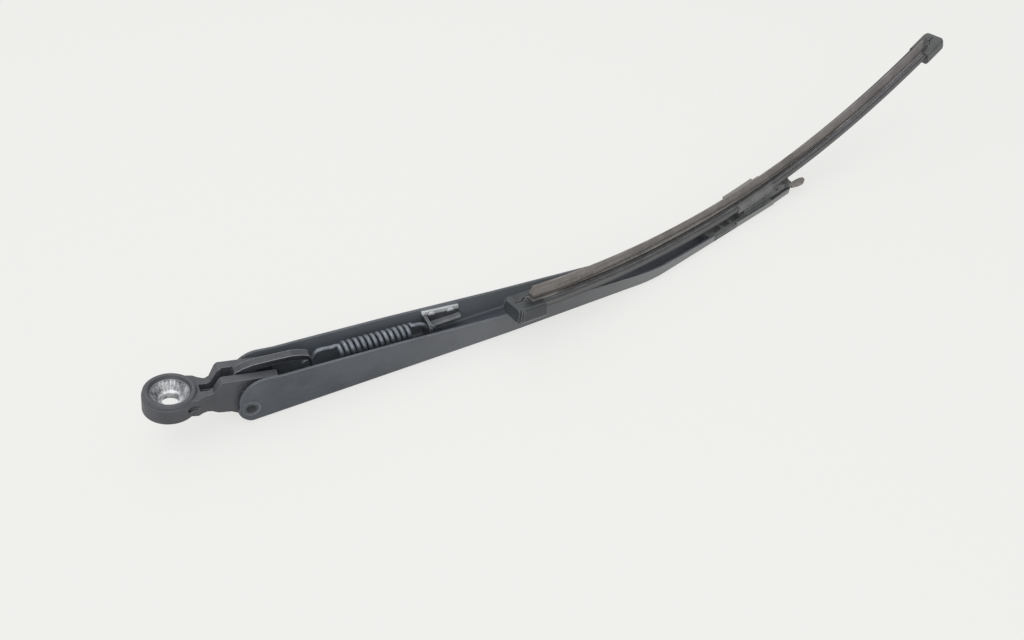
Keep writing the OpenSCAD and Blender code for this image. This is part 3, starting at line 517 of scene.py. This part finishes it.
streaky = add(tree, "ShaderNodeMix", {"Factor": 1.0, "A": cooler, "B": streaks}, data_type="RGBA",
              blend_type="MULTIPLY")
over_cap = add(tree, "ShaderNodeMapRange", {"Value": along, "From Min": outer_cap[0],
                                            "From Max": outer_cap[1]})
skin = add(tree, "ShaderNodeMix", {"Factor": over_cap, "A": streaky, "B": srgb("#484a4b")}, data_type="RGBA")
bump = add(tree, "ShaderNodeBump", {"Strength": 0.3, "Distance": 0.0001, "Height": speck})
shader = add(tree, "ShaderNodeBsdfPrincipled", {"Base Color": skin, "Roughness": 0.7, "Normal": bump})
add(tree, "ShaderNodeOutputMaterial", {"Surface": shader})
dress(nodes["wiper_rubber"], finish)

# Rails: two strips slit from hardened steel, one on each side of the rubber's head. They give the blade
# its curve.
rail_cloud = 11.1  # mm

# Spring steel, rolled and left bare: dull grey metal with soft clouds.
finish, tree, coords = start_finish("rolled_spring_steel")
cloud = add(tree, "ShaderNodeTexNoise", {"Vector": coords, "Scale": cells(rail_cloud), "Detail": 6.0})
tint = add(tree, "ShaderNodeValToRGB", {"Fac": cloud},
           stops=((0.32, srgb("#707377")), (0.7, srgb("#8c9094"))))
shader = add(tree, "ShaderNodeBsdfPrincipled", {"Base Color": tint, "Roughness": 0.42, "Metallic": 0.7})
add(tree, "ShaderNodeOutputMaterial", {"Surface": shader})
for name in ("rail_near", "rail_far"):
    dress(nodes[name], finish)

# Cover strips: two moulded lengths, clipped on behind the rails on each side of the clamp, with a low fin
# on the far edge.
covers_low, covers_high = -4.0, 2.0  # mm over the rails
cover_corner = 0.3  # mm

# Styrene plastic, moulded and weathered: satin dark grey with streaks along its length, a dark line near
# its top, and a lower flank painted darker as shade.
finish, tree, coords = start_finish("moulded_styrene")
height, along, across = along_blade(tree, coords)
level = add(tree, "ShaderNodeMapRange", {"Value": height, "From Min": covers_low, "From Max": covers_high})
# The darkest stop, low on the flank, is painted shade.
lines_and_shade = add(tree, "ShaderNodeValToRGB", {"Fac": level}, stops=(
    (0.45, srgb("#2e3034")), (0.58, srgb("#4d4d4f")), (0.68, srgb("#5c5c5d")), (0.71, srgb("#3a3a3b")),
    (0.75, srgb("#5a5a5b")), (0.86, srgb("#5c5c5d")), (0.93, srgb("#474748"))))
streaks = add(tree, "ShaderNodeValToRGB", {"Fac": blade_streaks(tree, along, height)},
              stops=((0.34, grey(0.62)), (0.5, grey(0.82)), (0.66, grey(1.1))))
tint = add(tree, "ShaderNodeMix", {"Factor": 1.0, "A": lines_and_shade, "B": streaks}, data_type="RGBA",
           blend_type="MULTIPLY")
rounded = add(tree, "ShaderNodeBevel", {"Radius": cover_corner / 1000}, samples=4)
shader = add(tree, "ShaderNodeBsdfPrincipled", {"Base Color": tint, "Roughness": 0.5, "Normal": rounded})
add(tree, "ShaderNodeOutputMaterial", {"Surface": shader})
for name in ("cover_inner", "cover_outer"):
    dress(nodes[name], finish)

# End caps: two mouldings pushed over the ends of the rails, one at each end of the blade. They keep the
# rubber from sliding out.
cap_cloud = 6.67  # mm
halfway = (0.30, 0.45)  # where the inner end's tint gives way to the outer one's, in metres along the arm

# Polypropylene, moulded: satin, blacker at the inner end and greyed at the outer one. Its edges are
# paler, partly rubbed wear and partly painted highlight, and painted shade darkens the folds on its face.
finish, tree, coords = start_finish("moulded_polypropylene")
cloud = add(tree, "ShaderNodeTexNoise", {"Vector": coords, "Scale": cells(cap_cloud), "Detail": 6.0})
inner_tint = add(tree, "ShaderNodeValToRGB", {"Fac": cloud},
                 stops=((0.32, srgb("#232629")), (0.7, srgb("#33373a"))))
outer_tint = add(tree, "ShaderNodeValToRGB", {"Fac": cloud},
                 stops=((0.32, srgb("#3a3b3d")), (0.7, srgb("#4d4d4e"))))
spot = add(tree, "ShaderNodeSeparateXYZ", {"Vector": coords})
outward = add(tree, "ShaderNodeMapRange", {"Value": spot.outputs["X"], "From Min": halfway[0],
                                           "From Max": halfway[1]})
tint = add(tree, "ShaderNodeMix", {"Factor": outward, "A": inner_tint, "B": outer_tint}, data_type="RGBA")
worn_and_lit, rounded = wear_and_highlight_edges(tree, tint, srgb("#878c90"),
                          width=0.7, share=0.6, full_tone_at=0.86, kept_at=0.98, samples=6)
# Painted shade: the folds on its face are darkened where they are closed in.
fold = add(tree, "ShaderNodeAmbientOcclusion", {"Distance": 0.0012}, only_local=True, samples=8)
fold_shade = add(tree, "ShaderNodeValToRGB", {"Fac": fold.outputs["AO"]},
           stops=((0.45, grey(0.9)), (0.85, grey(0))))
fold_shaded = add(tree, "ShaderNodeMix", {"Factor": fold_shade, "A": worn_and_lit, "B": srgb("#15171a")}, data_type="RGBA")
shader = add(tree, "ShaderNodeBsdfPrincipled", {"Base Color": fold_shaded, "Roughness": 0.38, "Normal": rounded})
add(tree, "ShaderNodeOutputMaterial", {"Surface": shader})
for name in ("end_cap_inner", "end_cap_outer"):
    dress(nodes[name], finish)

# Ground and light: a plain pale sheet under the arm's back, a wide lamp behind and one in front, and an
# even sky. The camera and mirrored rays see the ground and the sky at one plain white.
floor_wide = 8
floor_at = (0.25, 0.2, place(0, 0, -0.02).z)
lamps_aim = Vector((0.2, 0.0, 0.0))


def seen_rays(tree):
    """One for rays that come from the camera, a reflection or clear glass."""
    rays = add(tree, "ShaderNodeLightPath").outputs
    mirrored = add(tree, "ShaderNodeMath", {0: rays["Is Glossy Ray"], 1: rays["Is Transmission Ray"]},
                   operation="MAXIMUM")
    return add(tree, "ShaderNodeMath", {0: rays["Is Camera Ray"], 1: mirrored}, operation="MAXIMUM")


bpy.ops.mesh.primitive_plane_add(size=floor_wide, location=floor_at)
floor = bpy.context.object
floor.name = "floor"

# Matt white card: it takes the arm's soft shadow, and its own glow keeps it as pale as the sky.
finish, tree, coords = start_finish("matt_card")
lit = add(tree, "ShaderNodeBsdfDiffuse", {"Color": srgb("#e4e3e0")})
shadowed = add(tree, "ShaderNodeBsdfDiffuse", {"Color": srgb("#6a6a68")})
glow = add(tree, "ShaderNodeEmission", {"Color": srgb("#f2f2f0"), "Strength": 0.775})
pale = add(tree, "ShaderNodeAddShader", {0: shadowed, 1: glow})
card = add(tree, "ShaderNodeMixShader", {0: seen_rays(tree), 1: lit, 2: pale})
add(tree, "ShaderNodeOutputMaterial", {"Surface": card})
floor.data.materials.append(finish)

sky = bpy.data.worlds.new("sky")
bpy.context.scene.world = sky
sky.use_nodes = True
air = sky.node_tree
air.nodes.clear()
skylight = add(air, "ShaderNodeBackground", {"Color": grey(1.0), "Strength": 0.75})
backdrop = add(air, "ShaderNodeBackground", {"Color": srgb("#f2f2f0"), "Strength": 0.97})
both = add(air, "ShaderNodeMixShader", {0: seen_rays(air), 1: skylight, 2: backdrop})
add(air, "ShaderNodeOutputWorld", {"Surface": both})
for name, power, width, at in (("softbox", 5.0, 1.2, (0.1, 0.4, 1.1)),
                               ("front_fill", 7.0, 1.4, (-0.1, -0.65, 1.0))):
    lamp = bpy.data.lights.new(name, "AREA")
    lamp.shape = "SQUARE"
    lamp.size = width
    lamp.energy = power
    box = bpy.data.objects.new(name, lamp)
    box.location = at
    box.rotation_euler = (lamps_aim - box.location).to_track_quat("-Z", "Y").to_euler()
    bpy.context.scene.collection.objects.link(box)

# Camera: where the photo was taken from, with a lens of about 28 mm. It stands in front of the heel and
# high over it, looks down at the arm, and is turned toward the tip.
yaw, pitch, roll = math.radians(26.70), math.radians(44.61), math.radians(0.70)
eye_at = place(35.1, -285.0, 312.9)
look = Vector((math.sin(yaw) * math.cos(pitch), math.cos(yaw) * math.cos(pitch), -math.sin(pitch)))
level_right = Vector((math.cos(yaw), -math.sin(yaw), 0))
level_top = level_right.cross(look)
right = level_right * math.cos(roll) + level_top * math.sin(roll)
top = level_top * math.cos(roll) - level_right * math.sin(roll)
lens = bpy.data.cameras.new("photo")
lens.lens = 28.09
lens.sensor_width = 36
lens.clip_start = 0.01
eye = bpy.data.objects.new("photo", lens)
eye.matrix_world = Matrix((
    (right.x, top.x, -look.x, 0), (right.y, top.y, -look.y, 0), (right.z, top.z, -look.z, 0), (0, 0, 0, 1)))
eye.location = eye_at
bpy.context.scene.collection.objects.link(eye)
bpy.context.scene.camera = eye
bpy.context.scene.view_settings.view_transform = "Standard"
